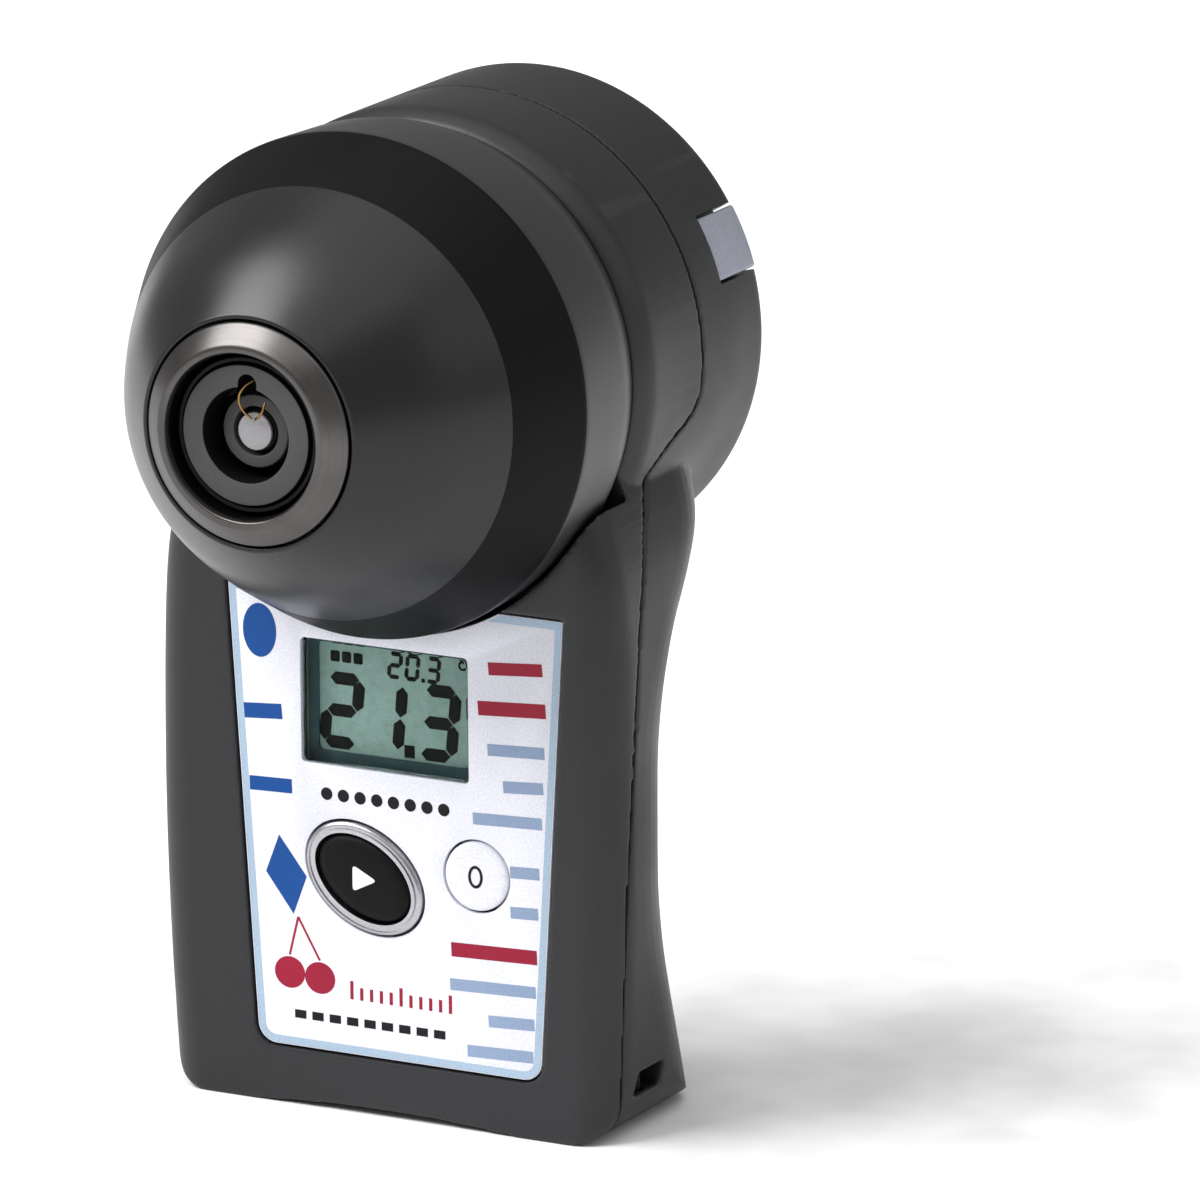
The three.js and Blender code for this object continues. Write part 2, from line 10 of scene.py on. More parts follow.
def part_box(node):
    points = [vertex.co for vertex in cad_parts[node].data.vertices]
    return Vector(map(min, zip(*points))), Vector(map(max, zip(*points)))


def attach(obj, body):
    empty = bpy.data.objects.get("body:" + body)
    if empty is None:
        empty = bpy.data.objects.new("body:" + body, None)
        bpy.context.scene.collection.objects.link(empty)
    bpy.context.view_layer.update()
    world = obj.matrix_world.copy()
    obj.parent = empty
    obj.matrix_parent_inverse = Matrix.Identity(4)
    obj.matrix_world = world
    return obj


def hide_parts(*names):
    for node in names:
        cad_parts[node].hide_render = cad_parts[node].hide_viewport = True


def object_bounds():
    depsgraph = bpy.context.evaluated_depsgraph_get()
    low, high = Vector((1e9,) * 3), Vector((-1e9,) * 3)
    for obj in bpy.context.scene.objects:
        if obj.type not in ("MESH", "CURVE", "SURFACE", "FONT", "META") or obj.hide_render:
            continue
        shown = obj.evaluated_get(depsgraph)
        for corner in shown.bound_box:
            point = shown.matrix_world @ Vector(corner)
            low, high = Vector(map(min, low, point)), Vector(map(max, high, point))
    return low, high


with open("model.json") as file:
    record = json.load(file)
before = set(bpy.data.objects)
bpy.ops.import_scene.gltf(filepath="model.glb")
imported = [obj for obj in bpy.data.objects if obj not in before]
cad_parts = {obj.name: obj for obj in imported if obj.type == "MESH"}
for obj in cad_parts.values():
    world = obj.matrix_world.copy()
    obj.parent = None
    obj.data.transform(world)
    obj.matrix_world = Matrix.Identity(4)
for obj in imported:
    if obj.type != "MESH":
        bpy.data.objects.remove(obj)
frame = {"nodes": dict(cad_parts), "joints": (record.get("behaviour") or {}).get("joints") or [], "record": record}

cad_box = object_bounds()
MM = 0.001


# ---- Sizes, in millimetres, from the frame ------------------------------------------------
def box_mm(node):
    low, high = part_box(node)
    return low / MM, high / MM


def middle(node):
    low, high = box_mm(node)
    return (low + high) / 2


RING_LOW, RING_HIGH = box_mm("tip_ring")
BOOT_LOW, BOOT_HIGH = box_mm("sensor_boot")
FRONT_LOW, FRONT_HIGH = box_mm("front_casing")
REAR_LOW, REAR_HIGH = box_mm("rear_casing")
PANEL_LOW, PANEL_HIGH = box_mm("label_panel")
GLASS_LOW, GLASS_HIGH = box_mm("lcd_window")
DISPLAY_LOW, DISPLAY_HIGH = box_mm("lcd_module")
START_LOW, START_HIGH = box_mm("start_key")
ZERO_LOW, ZERO_HIGH = box_mm("zero_key")

AXIS_Z = middle("tip_ring").z
TIP_Y = RING_LOW.y
BACK_Y = REAR_HIGH.y
SEAM_Y = middle("casing_seal").y
FRONT_Y = FRONT_LOW.y
HEAD_R = REAR_HIGH.z - AXIS_Z
BOOT_R = BOOT_HIGH.z - AXIS_Z
BOOT_BACK = BOOT_HIGH.y
HEAD_FRONT_Y = BOOT_BACK + 0.4
HEAD_FRONT_R = BOOT_R - 0.4
BODY_TOP_Z = 78
WALL = 2.2
FRONT_WALL = 2.8
NOSE_WALL = 2.5
BOOT_WALL = 1.8
GAP = 0.3
TURN = 168                      # facets round large turned pieces
VOXEL, SMOOTHING, KEPT = 0.3, 4, (0.16, 0.24)  # how a casing is moulded; faces kept, front and rear
LATCH_TILT = math.radians(23)
PANEL_FACE = PANEL_LOW.y
PANEL_BACK = PANEL_HIGH.y
START = Vector((middle("start_key").x, 0, middle("start_key").z))
ZERO = Vector((middle("zero_key").x, 0, middle("zero_key").z))
START_TILT = math.radians(-30)
START_A, START_B = 6.5, 4.3
RING_A, RING_B = 8.1, 5.9
ZERO_R = ZERO_HIGH.x - ZERO.x - 1
SCREWS = [middle(f"casing_screw_{i}") for i in range(1, 5)]
HINGE = next(joint for joint in frame["joints"] if joint["name"] == "battery_door_hinge")
HINGE_R = 22.0
HINGE_Y = HINGE["pos_m"][1] / MM


# ---- Mesh building ------------------------------------------------------------------------
def solid(bm):
    bmesh.ops.recalc_face_normals(bm, faces=bm.faces)
    mesh = bpy.data.meshes.new("solid")
    bm.to_mesh(mesh)
    bm.free()
    piece = bpy.data.objects.new("solid", mesh)
    bpy.context.scene.collection.objects.link(piece)
    return piece


def fillet(points, radius, closed=False, steps=5):
    """The 2-D outline with its corners rounded; radius is one value or one for each point."""
    out = []
    count = len(points)
    for i, point in enumerate(points):
        size = radius[i] if isinstance(radius, (list, tuple)) else radius
        if size == 0 or (not closed and i in (0, count - 1)):
            out.append(tuple(point))
            continue
        corner = Vector(point).to_2d() if len(point) == 2 else Vector(point)
        before = Vector(points[i - 1]) - corner
        after = Vector(points[(i + 1) % count]) - corner
        reach = min(size, before.length * 0.45, after.length * 0.45)
        start = corner + before.normalized() * reach
        end = corner + after.normalized() * reach
        for step in range(steps + 1):
            t = step / steps
            out.append(tuple(start * (1 - t) ** 2 + corner * 2 * t * (1 - t) + end * t ** 2))
    return out


def lathe(points, segments=TURN):
    """Solid turned about the Y axis from (radius, y) points, closed on itself or on the axis."""
    bm = bmesh.new()
    rings = []
    for radius, y in points:
        if radius < 1e-6:
            rings.append([bm.verts.new((0, y, 0))])
            continue
        angles = [2 * math.pi * i / segments for i in range(segments)]
        rings.append([bm.verts.new((radius * math.cos(a), y, radius * math.sin(a))) for a in angles])
    pairs = list(zip(rings, rings[1:]))
    if len(rings[0]) > 1 or len(rings[-1]) > 1:
        pairs.append((rings[-1], rings[0]))
    for one, two in pairs:
        for i in range(segments):
            j = (i + 1) % segments
            corners = [one[i % len(one)], two[i % len(two)], two[j % len(two)], one[j % len(one)]]
            kept = [v for k, v in enumerate(corners) if v not in corners[:k]]
            if len(kept) > 2:
                bm.faces.new(kept)
    return solid(bm)


def stack(loops):
    """Solid through a stack of loops with equal numbers of points, closed at both ends."""
    bm = bmesh.new()
    rings = [[bm.verts.new(p) for p in loop] for loop in loops]
    for one, two in zip(rings, rings[1:]):
        for i in range(len(one)):
            j = (i + 1) % len(one)
            bm.faces.new((one[i], two[i], two[j], one[j]))
    bm.faces.new(rings[0])
    bm.faces.new(list(reversed(rings[-1])))
    return solid(bm)


def plate(outline, front, back):
    """An (x, z) outline given thickness along Y."""
    return stack([[(x, y, z) for x, z in outline] for y in (front, back)])


def side_plate(outline, half):
    """A (y, z) outline given thickness along X."""
    return stack([[(x, y, z) for y, z in outline] for x in (-half, half)])


def block(x0, x1, y0, y1, z0, z1):
    return plate([(x0, z0), (x1, z0), (x1, z1), (x0, z1)], y0, y1)


def oval(x, z, a, b, tilt=0.0, count=96):
    """Outline of an ellipse; a circle if a and b are equal."""
    out = []
    for i in range(count):
        angle = 2 * math.pi * i / count
        u, v = a * math.cos(angle), b * math.sin(angle)
        out.append((x + u * math.cos(tilt) - v * math.sin(tilt), z + u * math.sin(tilt) + v * math.cos(tilt)))
    return out


def rounded_box(x0, x1, z0, z1, radius, steps=6):
    corners = [(x1 - radius, z0 + radius, -90), (x1 - radius, z1 - radius, 0),
               (x0 + radius, z1 - radius, 90), (x0 + radius, z0 + radius, 180)]
    out = []
    for x, z, start in corners:
        for step in range(steps + 1):
            angle = math.radians(start + 90 * step / steps)
            out.append((x + radius * math.cos(angle), z + radius * math.sin(angle)))
    return out


def moved(piece, offset=(0, 0, 0), turn=None):
    matrix = Matrix.Translation(offset)
    if turn:
        matrix = matrix @ turn
    piece.data.transform(matrix)
    return piece


def on_axis(piece):
    return moved(piece, (0, 0, AXIS_Z))


def to_latch(piece):
    """From the door's own axes, X across it and Z along its hinge, to its place on the head."""
    return moved(piece, (0, 0, AXIS_Z), Matrix.Rotation(-LATCH_TILT, 4, "Y"))


def applied(piece):
    """The piece with its modifiers made permanent."""
    graph = bpy.context.evaluated_depsgraph_get()
    mesh = bpy.data.meshes.new_from_object(piece.evaluated_get(graph))
    piece.modifiers.clear()
    piece.data = mesh
    return piece


def combine(piece, others, operation):
    for other in others:
        change = piece.modifiers.new("combine", "BOOLEAN")
        change.object = other
        change.operation = operation
        change.solver = "MANIFOLD"
        applied(piece)
        bpy.data.objects.remove(other)
    return piece


def less(piece, *others):
    return combine(piece, others, "DIFFERENCE")


def plus(piece, *others):
    return combine(piece, others, "UNION")


def common(piece, other):
    return combine(piece, [other], "INTERSECT")


def copy_of(piece):
    twin = piece.copy()
    twin.data = piece.data.copy()
    bpy.context.scene.collection.objects.link(twin)
    return twin


def moulded(piece, voxel, softness, keep):
    """Rounds every edge as a mould does, then thins the mesh to the share of faces kept."""
    remesh = piece.modifiers.new("remesh", "REMESH")
    remesh.mode = "VOXEL"
    remesh.voxel_size = voxel
    smooth = piece.modifiers.new("smooth", "SMOOTH")
    smooth.iterations = softness
    thin = piece.modifiers.new("thin", "DECIMATE")
    thin.ratio = keep
    return applied(piece)


def bevelled(piece, width, segments=3, angle=30):
    bevel = piece.modifiers.new("bevel", "BEVEL")
    bevel.width = width
    bevel.segments = segments
    bevel.limit_method = "ANGLE"
    bevel.angle_limit = math.radians(angle)
    return applied(piece)


def finished(piece, name, look, body, replaces=(), sharp=35):
    """Gives a piece its name, its scale, its material and its place in the frame."""
    piece.name = name
    piece.data.name = name
    piece.data.transform(Matrix.Scale(MM, 4))
    piece.data.shade_smooth()
    piece.data.set_sharp_from_angle(angle=math.radians(sharp))
    piece.data.materials.clear()
    piece.data.materials.append(look)
    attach(piece, body)
    if replaces:
        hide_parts(*replaces)
    return piece


def profile(stations):
    """Smooth curve through (z, value) stations."""
    def value(z):
        if z <= stations[0][0]:
            return stations[0][1]
        if z >= stations[-1][0]:
            return stations[-1][1]
        i = max(k for k in range(len(stations) - 1) if stations[k][0] <= z)
        before = stations[max(i - 1, 0)]
        after = stations[min(i + 2, len(stations) - 1)]
        (z1, v1), (z2, v2) = stations[i], stations[i + 1]
        span = z2 - z1
        slope1 = (v2 - before[1]) / (z2 - before[0]) * span
        slope2 = (after[1] - v1) / (after[0] - z1) * span
        t = (z - z1) / span
        return ((2 * t ** 3 - 3 * t ** 2 + 1) * v1 + (t ** 3 - 2 * t ** 2 + t) * slope1
                + (3 * t ** 2 - 2 * t ** 3) * v2 + (t ** 3 - t ** 2) * slope2)
    return value


# ---- Materials ----------------------------------------------------------------------------
def look(name, color, roughness, metallic=0.0, grain=2400, depth=0.06, drift=0.12, wear=0.0,
         coat=0.0, transmission=0.0, rings=0.0, shine=0.5, ior=1.5):
    """A procedural finish: fine grain in the relief, slow drift in colour and gloss, worn edges,
    and for turned metal the concentric scratches of the lathe."""
    material = bpy.data.materials.new(name)
    material.use_nodes = True
    nodes, links = material.node_tree.nodes, material.node_tree.links
    shader = nodes["Principled BSDF"]
    shader.inputs["Metallic"].default_value = metallic
    shader.inputs["Coat Weight"].default_value = coat
    shader.inputs["Coat Roughness"].default_value = 0.12
    shader.inputs["Transmission Weight"].default_value = transmission
    shader.inputs["Specular IOR Level"].default_value = shine
    shader.inputs["IOR"].default_value = ior
    place = nodes.new("ShaderNodeTexCoord").outputs["Object"]

    def noise(vector, scale, detail=3.0):
        node = nodes.new("ShaderNodeTexNoise")
        node.inputs["Scale"].default_value = scale
        node.inputs["Detail"].default_value = detail
        links.new(vector, node.inputs["Vector"])
        return node.outputs["Fac"]

    def remap(value, low, high, centre=0.5, spread=0.2):
        node = nodes.new("ShaderNodeMapRange")
        node.inputs["From Min"].default_value = centre - spread
        node.inputs["From Max"].default_value = centre + spread
        node.inputs["To Min"].default_value = low
        node.inputs["To Max"].default_value = high
        links.new(value, node.inputs["Value"])
        return node.outputs["Result"]

    def blend(factor, one, two):
        node = nodes.new("ShaderNodeMix")
        node.data_type = "RGBA"
        links.new(factor, node.inputs["Factor"])
        node.inputs["A"].default_value = one
        if isinstance(two, tuple):
            node.inputs["B"].default_value = two
        else:
            links.new(two, node.inputs["B"])
        return node

    pattern = place
    if rings:
        apart = nodes.new("ShaderNodeVectorMath")
        apart.operation = "SUBTRACT"
        apart.inputs[1].default_value = (0, 0, AXIS_Z * MM)
        links.new(place, apart.inputs[0])
        flat = nodes.new("ShaderNodeVectorMath")
        flat.operation = "MULTIPLY"
        flat.inputs[1].default_value = (1, 0, 1)
        links.new(apart.outputs[0], flat.inputs[0])
        length = nodes.new("ShaderNodeVectorMath")
        length.operation = "LENGTH"
        links.new(flat.outputs[0], length.inputs[0])
        split = nodes.new("ShaderNodeSeparateXYZ")
        links.new(place, split.inputs[0])
        join = nodes.new("ShaderNodeCombineXYZ")
        links.new(length.outputs["Value"], join.inputs["X"])
        links.new(split.outputs["Y"], join.inputs["Y"])
        pattern = join.outputs[0]

    slow = noise(place, 70, 4)
    dark = tuple(c * (1 - drift) for c in color) + (1,)
    light = tuple(min(1, c * (1 + drift)) for c in color) + (1,)
    tone = blend(remap(slow, 0, 1), dark, light)
    speck = noise(pattern, grain, 2)
    fleck = blend(remap(speck, 0, 1), (0.9, 0.9, 0.9, 1), (1.1, 1.1, 1.1, 1))
    both = nodes.new("ShaderNodeMix")
    both.data_type = "RGBA"
    both.blend_type = "MULTIPLY"
    both.inputs["Factor"].default_value = 1
    links.new(tone.outputs["Result"], both.inputs["A"])
    links.new(fleck.outputs["Result"], both.inputs["B"])
    surface = both.outputs["Result"]
    if wear:
        edge = nodes.new("ShaderNodeNewGeometry").outputs["Pointiness"]
        worn = nodes.new("ShaderNodeMix")
        worn.data_type = "RGBA"
        links.new(remap(edge, 0, wear, 0.54, 0.04), worn.inputs["Factor"])
        links.new(surface, worn.inputs["A"])
        worn.inputs["B"].default_value = tuple(min(1, c * 2.2 + 0.02) for c in color) + (1,)
        surface = worn.outputs["Result"]
    links.new(surface, shader.inputs["Base Color"])
    links.new(remap(slow, roughness * 0.86, min(1, roughness * 1.14)), shader.inputs["Roughness"])
    bump = nodes.new("ShaderNodeBump")
    bump.inputs["Strength"].default_value = 0.5
    bump.inputs["Distance"].default_value = depth * MM
    links.new(speck, bump.inputs["Height"])
    links.new(bump.outputs["Normal"], shader.inputs["Normal"])
    return material


LOOKS = {
    "casing": look("casing", (0.0105, 0.0108, 0.0125), 0.45, grain=3200, depth=0.05, wear=0.3, shine=0.45),
    "rubber": look("rubber", (0.007, 0.0073, 0.0083), 0.31, grain=4200, depth=0.02, drift=0.08, shine=0.4),
    # Copies of the boot's rubber: a darker one for its ring, darker rubber with painted shade, and a lighter one
    # for its rear band, painted light.
    "dark_rubber_painted_shade": look("dark_rubber_painted_shade", (0.0025, 0.0026, 0.003), 0.46, grain=4200, depth=0.02, drift=0.08, shine=0.11),
    "rubber_painted_light": look("rubber_painted_light", (0.019, 0.0195, 0.0215), 0.4, grain=4200, depth=0.02, drift=0.08, shine=0.55),
    "seal": look("seal", (0.006, 0.006, 0.007), 0.7, grain=2600, shine=0.3),
    "steel": look("steel", (0.105, 0.1, 0.097), 0.32, metallic=1, grain=5200, depth=0.02, drift=0.3, rings=1),
    "screw": look("screw", (0.26, 0.26, 0.27), 0.33, metallic=1, grain=3600, depth=0.015, wear=0.4),
    "optic": look("optic", (0.056, 0.056, 0.058), 0.62, grain=5200, depth=0.03, drift=0.2, shine=0.3),
    "black": look("black", (0.004, 0.004, 0.0045), 0.5, grain=3000, depth=0.03, shine=0.15),
    "key": look("key", (0.003, 0.003, 0.0035), 0.5, grain=3600, depth=0.02, shine=0.14),
    "chip": look("chip", (0.31, 0.3, 0.31), 0.5, grain=6000, depth=0.02, drift=0.2),
    "gold": look("gold", (0.34, 0.2, 0.07), 0.3, metallic=1, grain=6000, depth=0.008),
    "board": look("board", (0.018, 0.1, 0.042), 0.38, grain=1500, depth=0.03, coat=0.4, drift=0.25),
    "emitter": look("emitter", (0.8, 0.8, 0.7), 0.12, grain=2000, depth=0.01, transmission=0.6),
    "panel": look("panel", (0.78, 0.785, 0.86), 0.4, grain=3800, depth=0.006, drift=0.02, shine=0.3),
    "border": look("border", (0.37, 0.48, 0.6), 0.4, grain=3800, depth=0.006, drift=0.05, shine=0.3),
    "blue": look("blue", (0.001, 0.06, 0.26), 0.4, grain=3800, depth=0.006, drift=0.06, shine=0.25),
    "slate": look("slate", (0.25, 0.33, 0.48), 0.4, grain=3800, depth=0.006, drift=0.06, shine=0.25),
    "crimson": look("crimson", (0.3, 0.006, 0.03), 0.4, grain=3800, depth=0.006, drift=0.08, shine=0.25),
    "ink": look("ink", (0.006, 0.006, 0.007), 0.45, grain=3800, depth=0.006, shine=0.2),
    "display": look("display", (0.3, 0.43, 0.39), 0.45, grain=5200, depth=0.004, drift=0.05, shine=0.15),
    "segment": look("segment", (0.002, 0.003, 0.003), 0.5, grain=5200, depth=0.004, shine=0.1),
    # Painted shade: the dark teal of the display's recessed edge.
    "display_painted_shade": look("display_painted_shade", (0.045, 0.085, 0.095), 0.5, grain=4200, depth=0.01, shine=0.15),
    "latch": look("latch", (0.26, 0.275, 0.33), 0.42, grain=3200, depth=0.03, wear=0.3),
    "tray": look("tray", (0.016, 0.016, 0.019), 0.6, grain=2600, depth=0.05, shine=0.35),
    "cell": look("cell", (0.05, 0.1, 0.2), 0.3, grain=4000, depth=0.004, drift=0.05, coat=0.2),
    "cell_end": look("cell_end", (0.5, 0.49, 0.47), 0.32, metallic=1, grain=3400, depth=0.01),
    "contact": look("contact", (0.45, 0.45, 0.47), 0.3, metallic=1, grain=4200, depth=0.01),
    "flex": look("flex", (0.42, 0.17, 0.03), 0.35, grain=2400, depth=0.02, coat=0.3),
    "glass": look("glass", (0.92, 0.97, 0.95), 0.05, grain=900, depth=0.001, drift=0.02, transmission=1.0,
                  shine=0.2, ior=1.1),
}

# The LED board is painted black as the shade deep in the hole behind the light guide.
for part in frame["record"]["subparts"]:
    surface = frame["nodes"][part["node"]].data
    surface.materials.clear()
    surface.materials.append(LOOKS["black" if part["node"] == "led_board" else part["material_slot"]])


# ---- Handle and head casings --------------------------------------------------------------
half_width = profile([(0, 29.3), (10, 29.9), (18, 30.3), (28, 30.6), (39, 30.7), (56, 30.4), (66, 29.6),
                      (72, 28.0), (78, 25.4)])
rear_at = profile([(0, 24.8), (8, 21.6), (16, 18.4), (22, 16.5), (29, 15.3), (41, 15.2), (47, 15.8),
                   (53, 17.5), (59, 20.5), (64, 24.4), (70, 28.6), (78, 30.6)])


def handle_body(inset, front_inset, bottom):
    """The handle at a distance inside its outer surface, lofted from its plan at each height."""
    front = FRONT_Y + front_inset
    loops = []
    levels = 78
    for level in range(levels + 1):
        z = bottom + (BODY_TOP_Z - bottom) * level / levels
        half = half_width(z) - inset
        rear = rear_at(z) - inset
        near, far = 5 - 0.7 * inset, 13 - 0.7 * inset
        far = min(far, (rear - front) - near - 0.5)
        loop = []
        for x, y, radius, start in ((half, front, near, -90), (half, rear, far, 0),
                                    (-half, rear, far, 90), (-half, front, near, 180)):
            centre_x = x - math.copysign(radius, x)
            centre_y = y + radius if y == front else y - radius
            for step in range(13):
                angle = math.radians(start + 90 * step / 12)
                loop.append((centre_x + radius * math.cos(angle), centre_y + radius * math.sin(angle), z))
        loops.append(loop)
    return stack(loops)


def front_view():
    """Rounded lower corners and a gentle arch between two flat feet."""
    half, corner, foot, arch, wide = 29.3, 5.2, 17, 0.8, 31
    low = [(x, arch * (1 - (x / foot) ** 2)) for x in (foot - 2 * foot * k / 24 for k in range(25))]
    right = [(half - corner + corner * math.sin(a), corner - corner * math.cos(a))
             for a in (math.radians(7.5 * k) for k in range(13))]
    left = [(-x, z) for x, z in reversed(right)]
    return [(wide, 90), (-wide, 90), (-wide, 12)] + left + list(reversed(low)) + right + [(wide, 12)]


def front_half(offset):
    """What belongs to the front casing: up to the seam on the head, a shallow cover on the handle."""
    edge = fillet([(-0.9, -2), (-1.4, 14), (-1.2, 30), (0.2, 48), (2.4, 61), (5.6, 69), (8.8, 73.4),
                   (13.4, 79), (SEAM_Y, 82.4), (SEAM_Y, 125)], 6, steps=4)
    outline = [(y + offset, z - (offset if z > 72 else 0)) for y, z in edge] + [(-60, 125), (-60, -2)]
    nose = on_axis(lathe([(0, -20), (HEAD_FRONT_R + BOOT_WALL + 0.4 + offset, -20),
                          (HEAD_FRONT_R + BOOT_WALL + 0.4 + offset, HEAD_FRONT_Y + NOSE_WALL + GAP + offset),
                          (0, HEAD_FRONT_Y + NOSE_WALL + GAP + offset)]))
    return plus(side_plate(outline, 40), nose)


def disc(radius, front, back, segments=TURN):
    return lathe([(0, front), (radius, front), (radius, back), (0, back)], segments)


def casing_shell():
    head = on_axis(lathe(fillet([(0, HEAD_FRONT_Y), (HEAD_FRONT_R - 1.5, HEAD_FRONT_Y),
                                 (HEAD_FRONT_R - 0.2, HEAD_FRONT_Y + 2.2), (HEAD_R, BACK_Y), (0, BACK_Y)],
                                [0, 0.5, 1.4, 1.6, 0])))
    boot_room = on_axis(disc(HEAD_FRONT_R + 0.6, -20, HEAD_FRONT_Y + 0.001))
    heel = side_plate([(14, -1), (14, 0), (17.5, 0.4), (21, 1.6), (24, 3.4), (27, 7), (27, -1)], 40)
    handle = less(common(handle_body(0, 0, 0), plate(front_view(), -10, 40)), heel, boot_room)
    outer = plus(handle, head)
    head_hollow = on_axis(disc(HEAD_R - WALL, HEAD_FRONT_Y + NOSE_WALL, BACK_Y - 4.6))
    boot_wall = on_axis(disc(HEAD_FRONT_R + BOOT_WALL, -20, HEAD_FRONT_Y + NOSE_WALL))
    handle_hollow = less(handle_body(WALL, FRONT_WALL, 3.4), boot_wall)
    return less(outer, plus(handle_hollow, head_hollow))


def panel_outline(grow):
    low, high = PANEL_LOW, PANEL_HIGH
    centre = (low.x + high.x) / 2
    top = 62 + grow
    half_top = (high.x - low.x) / 2 + 0.5 + grow
    half_low = half_top - 3.2
    corner = 2.4 + grow
    right = [(centre + half_low - corner + corner * math.sin(a), low.z - grow + corner - corner * math.cos(a))
             for a in (math.radians(9 * k) for k in range(11))]
    left = [(2 * centre - x, z) for x, z in reversed(right)]
    return [(centre + half_top, top), (centre - half_top, top)] + left + right


def glass_outline(grow):
    return rounded_box(GLASS_LOW.x - grow, GLASS_HIGH.x + grow, GLASS_LOW.z - grow, GLASS_HIGH.z + grow, 0.6)


def start_oval(grow):
    return oval(START.x, START.z, START_A + grow, START_B + grow, START_TILT)


shell = casing_shell()

nose_hole_places = [(17 * math.cos(a), 17 * math.sin(a)) for a in (math.radians(d) for d in (90, 210, 330))]
openings = [plate(panel_outline(GAP), -20, PANEL_BACK + GAP), plate(glass_outline(0.7), -20, 0),
            plate(start_oval(GAP), -20, 0), moved(disc(ZERO_R + GAP, -20, 0, 72), (ZERO.x, 0, ZERO.z)),
            on_axis(disc(12, 0, 12, 72))]
openings += [moved(disc(1.2, 0.8, 12, 24), (x, 0, AXIS_Z + z)) for x, z in nose_hole_places]
front = less(common(copy_of(shell), front_half(-GAP / 2)), *openings)
front = moulded(front, VOXEL, SMOOTHING, KEPT[0])
finished(front, "casing_front", LOOKS["casing"], "root", ["front_casing"])


def hinge_rod(radius, half, segments=48):
    rod = lathe(fillet([(0, -half), (radius, -half), (radius, half), (0, half)], [0, 0.15, 0.15, 0], steps=2),
                segments)
    return moved(rod, (-HINGE_R, HINGE_Y, 0), Matrix.Rotation(math.pi / 2, 4, "X"))


def arc_block(inner, outer, half, front, back):
    angles = [-half + 2 * half * k / 16 for k in range(17)]
    outline = [(outer * math.cos(a), outer * math.sin(a)) for a in angles]
    outline += [(inner * math.cos(a), inner * math.sin(a)) for a in reversed(angles)]
    return plate(outline, front, back)


DOOR_R, DOOR_THICK, BARREL_HALF = 24.6, 2.2, 6
POCKET_DEPTH, BAY_DEPTH, BAY_R = 3.4, 13, 22.6
LATCH_LOW, LATCH_HIGH = box_mm("door_latch")
LATCH_HALF = math.radians(7.8)
LATCH_R = HEAD_R - 0.1
NOTCH_SPARE = 0.008             # radians at each side of the latch, so that it presses in freely

rear = less(shell, front_half(GAP / 2))
rear = less(rear, on_axis(disc(BAY_R, BACK_Y - BAY_DEPTH, 60)))
land = common(block(-26, -17.5, BACK_Y - 4.4, BACK_Y - 0.6, -17, 17),
              disc(27, BACK_Y - BAY_DEPTH, BACK_Y - 0.4))
strap_low, strap_high = box_mm("strap_pin")
strap = (strap_low + strap_high) / 2
strap_block = common(block(22.5, 28.6, 0.9, 9.6, 3.2, 9.8), handle_body(0.6, 0.6, 0))
posts = [common(moved(disc(2.9, 0.5, rear_at(s.z) - 1.4, 32), (s.x, 0, s.z)), handle_body(0.4, 0, 0))
         for s in SCREWS]
rear = plus(rear, to_latch(land), strap_block, *posts)
pocket = plus(common(disc(DOOR_R + 0.35, BACK_Y - POCKET_DEPTH, 60),
                     block(-HINGE_R + 1.6, 60, BACK_Y - POCKET_DEPTH, 60, -40, 40)),
              block(-HINGE_R - 2.1, 0, HINGE_Y - 2.1, 60, -BARREL_HALF - GAP, BARREL_HALF + GAP))
holes = [to_latch(pocket), to_latch(hinge_rod(0.85, 9.3)),
         block(24.6, 34, strap.y - 3.2, strap.y + 3.2, strap.z - 1.4, strap.z + 1.4),
         moved(disc(1.1, -2.7, 2.7, 24), strap, Matrix.Rotation(math.pi / 2, 4, "X"))]
holes += [moved(disc(1.4, 0, 40, 24), (s.x, 0, s.z)) for s in SCREWS]
holes += [moved(disc(2.6, rear_at(s.z) - 2.9, 60, 40), (s.x, 0, s.z)) for s in SCREWS]
rear = less(rear, *holes)
notch = to_latch(arc_block(LATCH_R - 3, 31, LATCH_HALF + NOTCH_SPARE, LATCH_LOW.y - GAP, 60))
rear = less(moulded(rear, VOXEL, SMOOTHING, KEPT[1]), notch)
finished(rear, "casing_rear", LOOKS["casing"], "root", ["rear_casing"])


# ---- Rubber boot and sensor tip -----------------------------------------------------------
TIP_SHIFT = TIP_Y + 35.9        # the profiles below put the front of the tip at y -35.9


def banded(piece, more, band):
    """Further materials by radius and y about the axis, such as painted shade on the boot's darker ring."""
    for name in more:
        piece.data.materials.append(LOOKS[name])
    for face in piece.data.polygons:
        centre = face.center / MM
        radius = math.hypot(centre.x, centre.z - AXIS_Z)
        face.material_index = int(band(radius, centre.y - TIP_SHIFT))


def tip_lathe(points, radius, segments=TURN):
    """Turned on the measuring axis from (radius, y) corners, each with its own rounding."""
    rounded_points = fillet(points, radius, closed=True, steps=4)
    return on_axis(moved(lathe(rounded_points, segments), (0, TIP_SHIFT, 0)))


